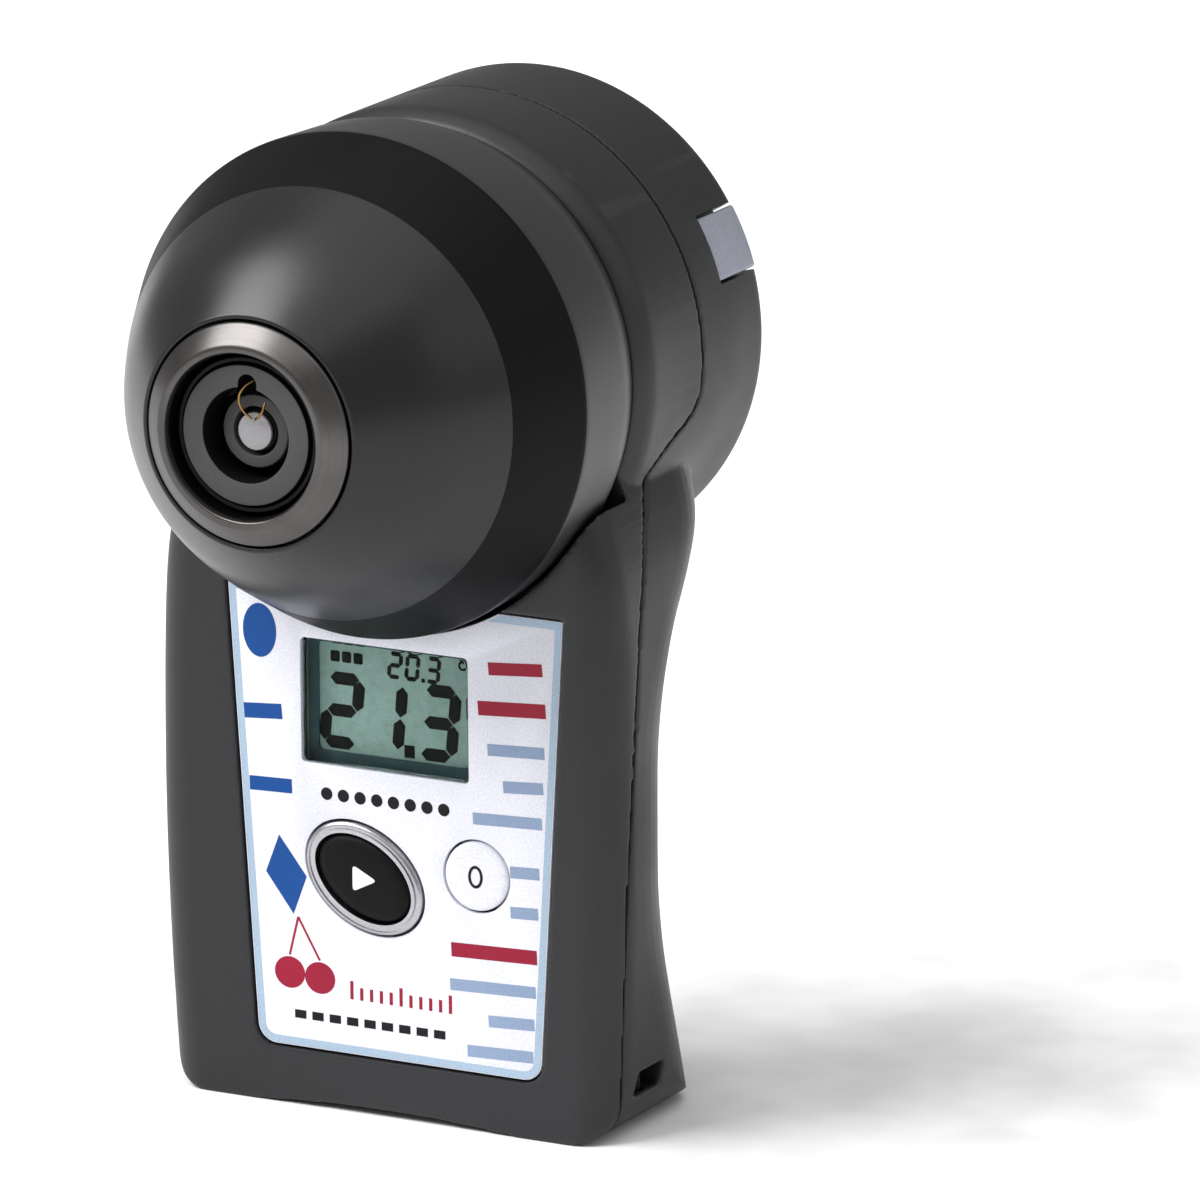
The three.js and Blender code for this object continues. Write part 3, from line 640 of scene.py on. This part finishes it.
CONE_END, SHADE_END = -18.1, -8.8  # y where the cone ends and where the boot's dark ring of painted shade ends
boot = tip_lathe([(13.6, -33.8), (20.4, -26.8), (25.1, CONE_END), (BOOT_R - 0.2, SHADE_END),
                  (BOOT_R - 0.6, BOOT_BACK - 3.4), (BOOT_R - 2.0, BOOT_BACK), (27.2, BOOT_BACK), (27.2, -7.6),
                  (11.8, -31.6), (11.8, -32.3), (13.15, -32.4), (13.15, -33.8)],
                 [0.2, 9, 0.5, 0.7, 1.6, 0.4, 0.1, 2, 0.3, 0.1, 0.1, 0.2])
finished(boot, "boot", LOOKS["rubber"], "root", ["sensor_boot"], sharp=60)
# Painted shade on the boot's dark ring and painted light on its rear band, set by y along the axis.
banded(boot, ["dark_rubber_painted_shade", "rubber_painted_light"], lambda radius, y: (y > CONE_END) + (y > SHADE_END))

ring = tip_lathe([(9.5, -35.2), (9.75, -35.9), (10.5, -35.9), (12.9, -34.0), (12.9, -32.8), (10.9, -32.8),
                  (10.9, -25.4), (9.5, -25.4)], [0.1, 0.2, 0.5, 0.3, 0.1, 0.1, 0.1, 0.1])
finished(ring, "metal_ring", LOOKS["steel"], "root", ["tip_ring"], sharp=60)
for name, points, radius, finish, node, slot in (
        ("light_barrier_outer", [(8.4, -34.1), (8.9, -34.1), (8.9, -25.7), (8.4, -25.7)], 0.12, "black",
         "outer_barrier", "black"),
        ("light_barrier_inner", [(2.85, -32.2), (4.2, -32.2), (4.2, -25.1), (2.85, -25.1)], 0.2, "optic",
         "inner_barrier", "black")):
    finished(tip_lathe(points, radius, 96), name, LOOKS[finish], "root", [node], sharp=60)

guide = tip_lathe([(5.5, -34.5), (8.1, -34.5), (8.1, -30.1), (5.5, -30.1)], 0.2, 96)
keyhole = [(0.3 + 1.2 * math.cos(a), 5.9 + 1.2 * math.sin(a))
           for a in (math.radians(15 * k) for k in range(13))]
guide = less(guide, on_axis(plate(keyhole + [(-0.9, 4), (1.5, 4)], -60, 0)))
finished(guide, "light_guide", LOOKS["optic"], "root", ["light_guide_ring"], sharp=50)
# The guide's faces behind its front, its bore walls too, are painted black as the shade inside the hole.
banded(guide, ["black"], lambda radius, y: y > -34.45)

can = tip_lathe([(0, -31.7), (2.25, -31.7), (2.7, -31.2), (2.7, -26.3), (0, -26.3)],
                [0, 0.1, 0.3, 0.2, 0], 64)
finished(can, "detector_can", LOOKS["black"], "root", ["photodiode_can"])
chip = tip_lathe([(0, -32.4), (2.15, -32.4), (2.15, -32.0), (0, -32.0)], [0, 0.12, 0.05, 0], 64)
finished(chip, "detector_disc", LOOKS["chip"], "root", ["photodiode_chip"])


def wire(points, radius, name, finish, body, replaced):
    """A round wire along a smooth path."""
    path = bpy.data.curves.new(name, "CURVE")
    path.dimensions = "3D"
    path.bevel_depth = radius
    path.bevel_resolution = 4
    path.resolution_u = 10
    path.use_fill_caps = True
    spline = path.splines.new("BEZIER")
    spline.bezier_points.add(len(points) - 1)
    for knot, point in zip(spline.bezier_points, points):
        knot.co = point
        knot.handle_left_type = knot.handle_right_type = "AUTO"
    strand = bpy.data.objects.new(name, path)
    bpy.context.scene.collection.objects.link(strand)
    graph = bpy.context.evaluated_depsgraph_get()
    mesh = bpy.data.meshes.new_from_object(strand.evaluated_get(graph))
    bpy.data.objects.remove(strand)
    strand = bpy.data.objects.new(name, mesh)
    bpy.context.scene.collection.objects.link(strand)
    return finished(strand, name, LOOKS[finish], body, replaced, sharp=60)


WIRES = (
    ("left", "bond_wire_1", [(-0.2, -32.75, 1.5), (-1.1, -33.2, 2.6), (-1.35, -33.5, 3.9), (-0.8, -33.4, 5.2),
                             (0.1, -32.6, 6.0)]),
    ("right", "bond_wire_2", [(0.3, -32.75, 1.5), (0.9, -33.2, 1.9), (1.5, -33.3, 2.6), (1.7, -32.9, 3.6)]),
)
for side, node, path in WIRES:
    knots = [(x, y + TIP_SHIFT, z + AXIS_Z) for x, y, z in path]
    wire(knots, 0.15, f"gold_wire_{side}", "gold", "root", [node])


# ---- Label panel, its prints and the display ----------------------------------------------
panel = plate(panel_outline(0), PANEL_FACE, PANEL_BACK)
panel = less(panel, plate(glass_outline(GAP), -20, 5),
             plate(oval(START.x, START.z, RING_A + GAP, RING_B + GAP, START_TILT), -20, 5),
             moved(disc(ZERO_R + GAP, -20, 5, 96), (ZERO.x, 0, ZERO.z)),
             on_axis(disc(HEAD_FRONT_R + 0.8, -20, 5)))
finished(bevelled(panel, 0.12, 2, 60), "panel_sheet", LOOKS["panel"], "root", ["label_panel"])


def prints(outlines, name, finish):
    """Printed marks as thin films that lie on the panel, joined into one piece."""
    piece = None
    for outline in outlines:
        mark = plate(outline, PANEL_FACE - 0.03, PANEL_FACE - 0.004)
        piece = mark if piece is None else plus(piece, mark)
    return finished(piece, name, LOOKS[finish], "root")


def bar(x0, z0, x1, z1, width):
    """Outline of a straight stroke from one point to another."""
    along = (Vector((x1, z1)) - Vector((x0, z0))).normalized()
    side = Vector((-along.y, along.x)) * width / 2
    start, end = Vector((x0, z0)), Vector((x1, z1))
    return [tuple(p) for p in (start - side, end - side, end + side, start + side)]


def hoop(x, z, outer, inner):
    """Outline of a ring, out along its rim and back along its hole."""
    angles = [math.radians(9 * k) for k in range(41)]
    far = [(x + outer * math.cos(a), z + outer * math.sin(a)) for a in angles]
    near = [(x + inner * math.cos(a), z + inner * math.sin(a)) for a in reversed(angles)]
    return far + near


LEFT = PANEL_LOW.x
RIGHT = PANEL_HIGH.x

border = less(plate(panel_outline(-0.1), PANEL_FACE - 0.02, PANEL_FACE - 0.004),
              plate(panel_outline(-1.0), -20, 5), on_axis(disc(HEAD_FRONT_R + 1.0, -20, 5)))
finished(border, "print_border", LOOKS["border"], "root")
diamond = [(LEFT + 5.8, 32.2), (LEFT + 9.4, 27.6), (LEFT + 7.6, 22.9), (LEFT + 4.0, 27.6)]
prints([oval(LEFT + 3.6, 56.4, 2.2, 3.2), bar(LEFT + 1.4, 46.6, LEFT + 6.4, 47.0, 1.8),
        bar(LEFT + 2.0, 38.0, LEFT + 7.6, 38.2, 1.7), diamond], "print_blue", "blue")
prints([bar(RIGHT - 9.2, 55.4, RIGHT - 2.2, 56.0, 1.5), bar(RIGHT - 10.6, 50.6, RIGHT - 1.8, 51.2, 1.7),
        bar(RIGHT - 14.4, 21.4, RIGHT - 3.2, 21.8, 1.7)], "print_crimson", "crimson")
prints([bar(RIGHT - 9.4, 45.8, RIGHT - 2.0, 46.2, 1.4), bar(RIGHT - 7.4, 41.6, RIGHT - 2.2, 42.0, 1.4),
        bar(RIGHT - 11.4, 37.4, RIGHT - 2.4, 37.8, 1.4), bar(RIGHT - 6.6, 31.6, RIGHT - 2.8, 31.8, 1.4),
        bar(RIGHT - 6.6, 26.8, RIGHT - 3.0, 27.0, 1.4), bar(RIGHT - 14.6, 17.2, RIGHT - 3.4, 17.6, 1.4),
        bar(RIGHT - 9.6, 13.4, RIGHT - 3.6, 13.7, 1.4), bar(RIGHT - 12.4, 9.5, RIGHT - 3.8, 9.8, 1.4)],
       "print_slate", "slate")
fruit = [(LEFT + 7.0, 15.8), (LEFT + 11.0, 15.6)]
prints([oval(x, z, 2.0, 1.9) for x, z in fruit], "print_fruit", "crimson")
prints([bar(x, z + 2.1, LEFT + 8.2, 22.6, 0.28) for x, z in fruit], "print_stems", "crimson")
ticks = [bar(LEFT + 15.2 + 1.3 * k, 13.6, LEFT + 15.2 + 1.3 * k, 13.6 + (1.5 if k % 5 else 2.2), 0.42)
         for k in range(11)]
prints(ticks, "print_scale", "crimson")
dashes = [bar(LEFT + 7.6 + 2.3 * k, 10.9, LEFT + 9.1 + 2.3 * k, 10.9, 1.0) for k in range(9)]
prints(dashes, "print_dashes", "ink")
dots = [oval(GLASS_LOW.x + 3 + 2.2 * k, 37.9, 0.75, 0.75, count=32) for k in range(8)]
prints(dots, "print_dots", "ink")


def digit(segments, x, z, height, stroke):
    """Seven-segment figure in outline strokes that lean a little, as they do on a display."""
    wide = height * 0.52
    lean = 0.1
    ends = {
        "top": ((0, 1), (1, 1)), "middle": ((0, 0.5), (1, 0.5)), "bottom": ((0, 0), (1, 0)),
        "upper_left": ((0, 0.5), (0, 1)), "upper_right": ((1, 0.5), (1, 1)),
        "lower_left": ((0, 0), (0, 0.5)), "lower_right": ((1, 0), (1, 0.5)),
    }
    out = []
    for key in segments:
        (u0, v0), (u1, v1) = ends[key]
        one = Vector((x + u0 * wide + v0 * height * lean, z + v0 * height))
        two = Vector((x + u1 * wide + v1 * height * lean, z + v1 * height))
        along = (two - one).normalized()
        side = Vector((-along.y, along.x)) * stroke / 2
        inset, tip = along * stroke * 0.06, along * stroke * 0.52
        out.append([tuple(p) for p in (one + inset, one + tip - side, two - tip - side, two - inset,
                                       two - tip + side, one + tip + side)])
    return out


FIGURES = {
    "0": ("top", "bottom", "upper_left", "upper_right", "lower_left", "lower_right"),
    "1": ("upper_right", "lower_right"),
    "2": ("top", "upper_right", "middle", "lower_left", "bottom"),
    "3": ("top", "upper_right", "middle", "lower_right", "bottom"),
}


def number(text, x, z, height, stroke, pitch):
    out = []
    for letter in text:
        if letter == ".":
            out.append(rounded_box(x - stroke * 0.5, x + stroke * 0.4, z - stroke / 2, z + stroke / 2,
                                   0.1, 2))
            x += stroke * 0.9
        else:
            out += digit(FIGURES[letter], x, z, height, stroke)
            x += pitch
    return out


DISPLAY_FACE = DISPLAY_LOW.y
figures = number("21.3", GLASS_LOW.x + 1.3, GLASS_LOW.z + 1.8, 7.6, 1.5, 5.6)
figures += number("20.3", GLASS_LOW.x + 9.8, GLASS_HIGH.z - 3.9, 2.7, 0.5, 2.25)
figures.append(hoop(GLASS_LOW.x + 19.4, GLASS_HIGH.z - 1.6, 0.55, 0.3))
figures += [rounded_box(GLASS_LOW.x + 2.2 + 1.5 * k, GLASS_LOW.x + 3.4 + 1.5 * k, GLASS_HIGH.z - 3.0,
                        GLASS_HIGH.z - 1.7, 0.2, 2) for k in range(3)]
face = None
for outline in figures:
    mark = plate(outline, DISPLAY_FACE - 0.05, DISPLAY_FACE - 0.01)
    face = mark if face is None else plus(face, mark)
finished(face, "display_figures", LOOKS["segment"], "root")

display = plate(rounded_box(DISPLAY_LOW.x, DISPLAY_HIGH.x, DISPLAY_LOW.z, DISPLAY_HIGH.z, 0.6), DISPLAY_FACE,
                DISPLAY_HIGH.y)
finished(bevelled(display, 0.15), "display_cell", LOOKS["display"], "root", ["lcd_module"])
# A dark teal ring round the display's edge, painted shade where the display sits recessed behind the glass.
painted_shade_rim = less(plate(glass_outline(0.55), DISPLAY_FACE - 0.35, DISPLAY_FACE - 0.06),
                  plate(glass_outline(-0.75), -20, 5))
finished(painted_shade_rim, "display_rim_painted_shade", LOOKS["display_painted_shade"], "root")
glass = plate(glass_outline(0), GLASS_LOW.y, GLASS_HIGH.y)
finished(bevelled(glass, 0.12, 3), "display_glass", LOOKS["glass"], "root", ["lcd_window"])


# ---- Keys ---------------------------------------------------------------------------------
def domed(outline_at, levels):
    """A cap built from outlines at (inset, y) levels, from the front backwards."""
    return stack([[(x, y, z) for x, z in outline_at(-inset)] for inset, y in levels])


def ring_oval(grow):
    return oval(START.x, START.z, RING_A + grow, RING_B + grow, START_TILT)


BEZEL_LOW, BEZEL_HIGH = box_mm("start_bezel")
bezel = domed(ring_oval, [(0.75, BEZEL_LOW.y), (0.35, BEZEL_LOW.y + 0.05), (0.1, BEZEL_LOW.y + 0.2),
                          (0, BEZEL_LOW.y + 0.45), (0, BEZEL_HIGH.y)])
bezel = less(bezel, plate(start_oval(GAP), -20, 5))
groove = less(plate(start_oval(1.15), -20, BEZEL_LOW.y + 0.22), plate(start_oval(0.75), -21, 5))
finished(less(bezel, groove), "start_ring", LOOKS["contact"], "root", ["start_bezel"], sharp=45)

START_FACE = START_LOW.y
start = domed(start_oval, [(2.6, START_FACE), (1.4, START_FACE + 0.04), (0.6, START_FACE + 0.15),
                           (0.15, START_FACE + 0.38), (0, START_FACE + 0.7), (0, -1.4)])
start = plus(start, plate(start_oval(1), -1.4 - 0.001, -0.6),
             moved(disc(1.3, -0.9, START_HIGH.y, 40), (START.x, 0, START.z)))
finished(start, "start_cap", LOOKS["key"], "start_key", ["start_key"], sharp=45)
arrow = fillet([(START.x - 1.3, START.z - 1.6), (START.x + 1.9, START.z), (START.x - 1.3, START.z + 1.6)],
               0.6, True, 4)
finished(plate(arrow, START_FACE - 0.035, START_FACE + 0.03), "start_mark", LOOKS["panel"], "start_key")

ZERO_FACE = ZERO_LOW.y


def zero_round(grow):
    return oval(ZERO.x, ZERO.z, ZERO_R + grow, ZERO_R + grow)


zero = domed(zero_round, [(2.4, ZERO_FACE), (0.9, ZERO_FACE + 0.02), (0.35, ZERO_FACE + 0.08),
                          (0.08, ZERO_FACE + 0.22), (0, ZERO_FACE + 0.45), (0, -1.4)])
zero = plus(zero, plate(zero_round(1), -1.4 - 0.001, -0.6),
            moved(disc(1.3, -0.9, ZERO_HIGH.y, 40), (ZERO.x, 0, ZERO.z)))
finished(zero, "zero_cap", LOOKS["panel"], "zero_key", ["zero_key"], sharp=45)
nought = less(plate(oval(ZERO.x, ZERO.z, 0.95, 1.35), ZERO_FACE - 0.03, ZERO_FACE + 0.03),
              plate(oval(ZERO.x, ZERO.z, 0.6, 1.0), -20, 5))
finished(nought, "zero_mark", LOOKS["ink"], "zero_key")


# ---- Battery door, latch, fasteners and cells ---------------------------------------------
DOOR_FRONT = BACK_Y - DOOR_THICK
cover = lathe(fillet([(0, DOOR_FRONT), (DOOR_R, DOOR_FRONT), (DOOR_R, BACK_Y), (0, BACK_Y)],
                     [0, 0.3, 0.9, 0]))
cover = common(cover, block(-HINGE_R + 2.5, 40, 0, 60, -40, 40))
web = block(-HINGE_R, -HINGE_R + 4, DOOR_FRONT, HINGE_Y + 1.4, -BARREL_HALF, BARREL_HALF)
door = plus(cover, web, hinge_rod(1.5, BARREL_HALF))
ribs = [block(14 + k * 2.4 - 0.5, 14 + k * 2.4 + 0.5, BACK_Y - 0.6, 60, -7, 7) for k in (-1, 0, 1)]
door = less(moulded(less(door, hinge_rod(0.85, 20)), 0.28, 2, 0.3), *ribs)
finished(to_latch(door), "door_cover", LOOKS["casing"], "battery_door", ["battery_door"])
pin = hinge_rod(0.55, 8.6)
finished(to_latch(pin), "hinge_pin", LOOKS["screw"], "root", ["door_hinge_pin"])
gasket = lathe(fillet([(23.2, BACK_Y - 3.1), (24.5, BACK_Y - 3.1), (24.5, BACK_Y - 2.5),
                       (23.2, BACK_Y - 2.5)], 0.25, True))
gasket = common(gasket, block(-HINGE_R + 2.6, 40, 0, 60, -40, 40))
finished(to_latch(gasket), "door_gasket", LOOKS["seal"], "battery_door", ["door_seal"])

latch = arc_block(LATCH_R - 1.6, LATCH_R, LATCH_HALF - 0.003, LATCH_LOW.y, LATCH_HIGH.y)
latch = bevelled(latch, 0.35, 4, 40)
finished(to_latch(latch), "latch_tab", LOOKS["latch"], "door_latch", ["door_latch"], sharp=40)

for i, place in enumerate(SCREWS, 1):
    low, high = box_mm(f"casing_screw_{i}")
    head = lathe(fillet([(0, high.y - 1.5), (2.2, high.y - 1.5), (2.2, high.y), (0, high.y - 0.05)],
                        [0, 0.1, 0.7, 0]), 64)
    shank = disc(1.0, low.y, high.y - 1.4, 32)
    cross = [block(-1.25, 1.25, high.y - 0.8, high.y + 5, -0.22, 0.22),
             block(-0.22, 0.22, high.y - 0.8, high.y + 5, -1.25, 1.25)]
    screw = moved(less(plus(head, shank), *cross), (place.x, 0, place.z))
    finished(screw, f"screw_{i}", LOOKS["screw"], "root", [f"casing_screw_{i}"])
half = (strap_high.z - strap_low.z) / 2
loop = lathe(fillet([(0, -half), (0.8, -half), (0.8, half), (0, half)], [0, 0.2, 0.2, 0]), 40)
finished(moved(loop, strap, Matrix.Rotation(math.pi / 2, 4, "X")), "strap_bar", LOOKS["black"], "root",
         ["strap_pin"])

for i, side in ((1, 1), (2, -1)):
    low, high = box_mm(f"battery_{i}")
    radius = (high.z - low.z) / 2
    span = (high.x - low.x) / 2
    turn = Matrix.Rotation(-side * math.pi / 2, 4, "Z")
    sleeve = fillet([(0, -span + 0.25), (radius - 0.5, -span + 0.25), (radius, -span + 0.1),
                     (radius, span - 1.7), (radius - 0.7, span - 1.0), (0, span - 1.0)],
                    [0, 0.1, 0.4, 0.4, 0.3, 0])
    finished(moved(lathe(sleeve, 96), (low + high) / 2, turn), f"cell_{i}", LOOKS["cell"], "root",
             [f"battery_{i}"])
    tip = fillet([(0, span - 0.95), (radius - 1.4, span - 0.95), (radius - 1.5, span - 0.8),
                  (1.9, span - 0.8), (1.9, span), (0, span)], [0, 0.1, 0.1, 0.1, 0.3, 0])
    base = fillet([(0, -span), (radius - 0.9, -span), (radius - 0.8, -span + 0.2), (0, -span + 0.2)], 0.08)
    for label, shape in (("plus", tip), ("minus", base)):
        finished(moved(lathe(shape, 72), (low + high) / 2, turn), f"cell_{i}_{label}", LOOKS["cell_end"],
                 "root")


# ---- Studio -------------------------------------------------------------------------------
VIEW_AZIMUTH, VIEW_ELEVATION, VIEW_ROLL = 28.3, 14.8, -0.42
AIM_RIGHT, AIM_UP, DISTANCE = 0.02313, 0.00172, 1.4
LENS = 366
LIGHTS = (                      # name, degrees around from the front, degrees above, spread, strength
    ("key", -50, 48, 42, 3.5),
    ("top", 20, 80, 70, 1.1),
    ("side", 100, 30, 40, 0.25),
)


def studio():
    corners = ((-3000, -3000), (3000, -3000), (3000, 3000), (-3000, 3000))
    floor = stack([[(x, y, z) for x, y in corners] for z in (-2, -0.02)])
    floor.name = "floor"
    floor.data.transform(Matrix.Scale(MM, 4))
    floor.data.materials.append(look("floor", (0.9, 0.9, 0.905), 0.9, grain=60, depth=0.02, drift=0.01))

    world = bpy.data.worlds.new("studio")
    bpy.context.scene.world = world
    world.use_nodes = True
    world.node_tree.nodes["Background"].inputs["Color"].default_value = (1, 1, 1, 1)
    world.node_tree.nodes["Background"].inputs["Strength"].default_value = 0.34

    for name, around, above, softness, power in LIGHTS:
        data = bpy.data.lights.new(name, "SUN")
        data.angle = math.radians(softness)
        data.energy = power
        lamp = bpy.data.objects.new(name, data)
        bpy.context.scene.collection.objects.link(lamp)
        turn, rise = math.radians(around), math.radians(above)
        towards = Vector((math.sin(turn) * math.cos(rise), -math.cos(turn) * math.cos(rise), math.sin(rise)))
        lamp.rotation_euler = towards.to_track_quat("Z", "Y").to_euler()

    azimuth = math.radians(VIEW_AZIMUTH)
    elevation = math.radians(VIEW_ELEVATION)
    roll = math.radians(VIEW_ROLL)
    back = Vector((math.sin(azimuth) * math.cos(elevation), -math.cos(azimuth) * math.cos(elevation),
                   math.sin(elevation)))
    right = Vector((math.cos(azimuth), math.sin(azimuth), 0))
    up = back.cross(right)
    aim = (Vector(cad_box[0]) + Vector(cad_box[1])) / 2 + right * AIM_RIGHT + up * AIM_UP
    turn = Matrix((right, up, back)).transposed() @ Matrix.Rotation(roll, 3, "Z")
    camera = bpy.data.objects.new("camera", bpy.data.cameras.new("camera"))
    bpy.context.scene.collection.objects.link(camera)
    camera.data.lens = LENS
    camera.data.clip_start = 0.05
    camera.matrix_world = Matrix.Translation(aim + back * DISTANCE) @ turn.to_4x4()
    bpy.context.scene.camera = camera
    bpy.context.scene.view_settings.view_transform = "Standard"


studio()
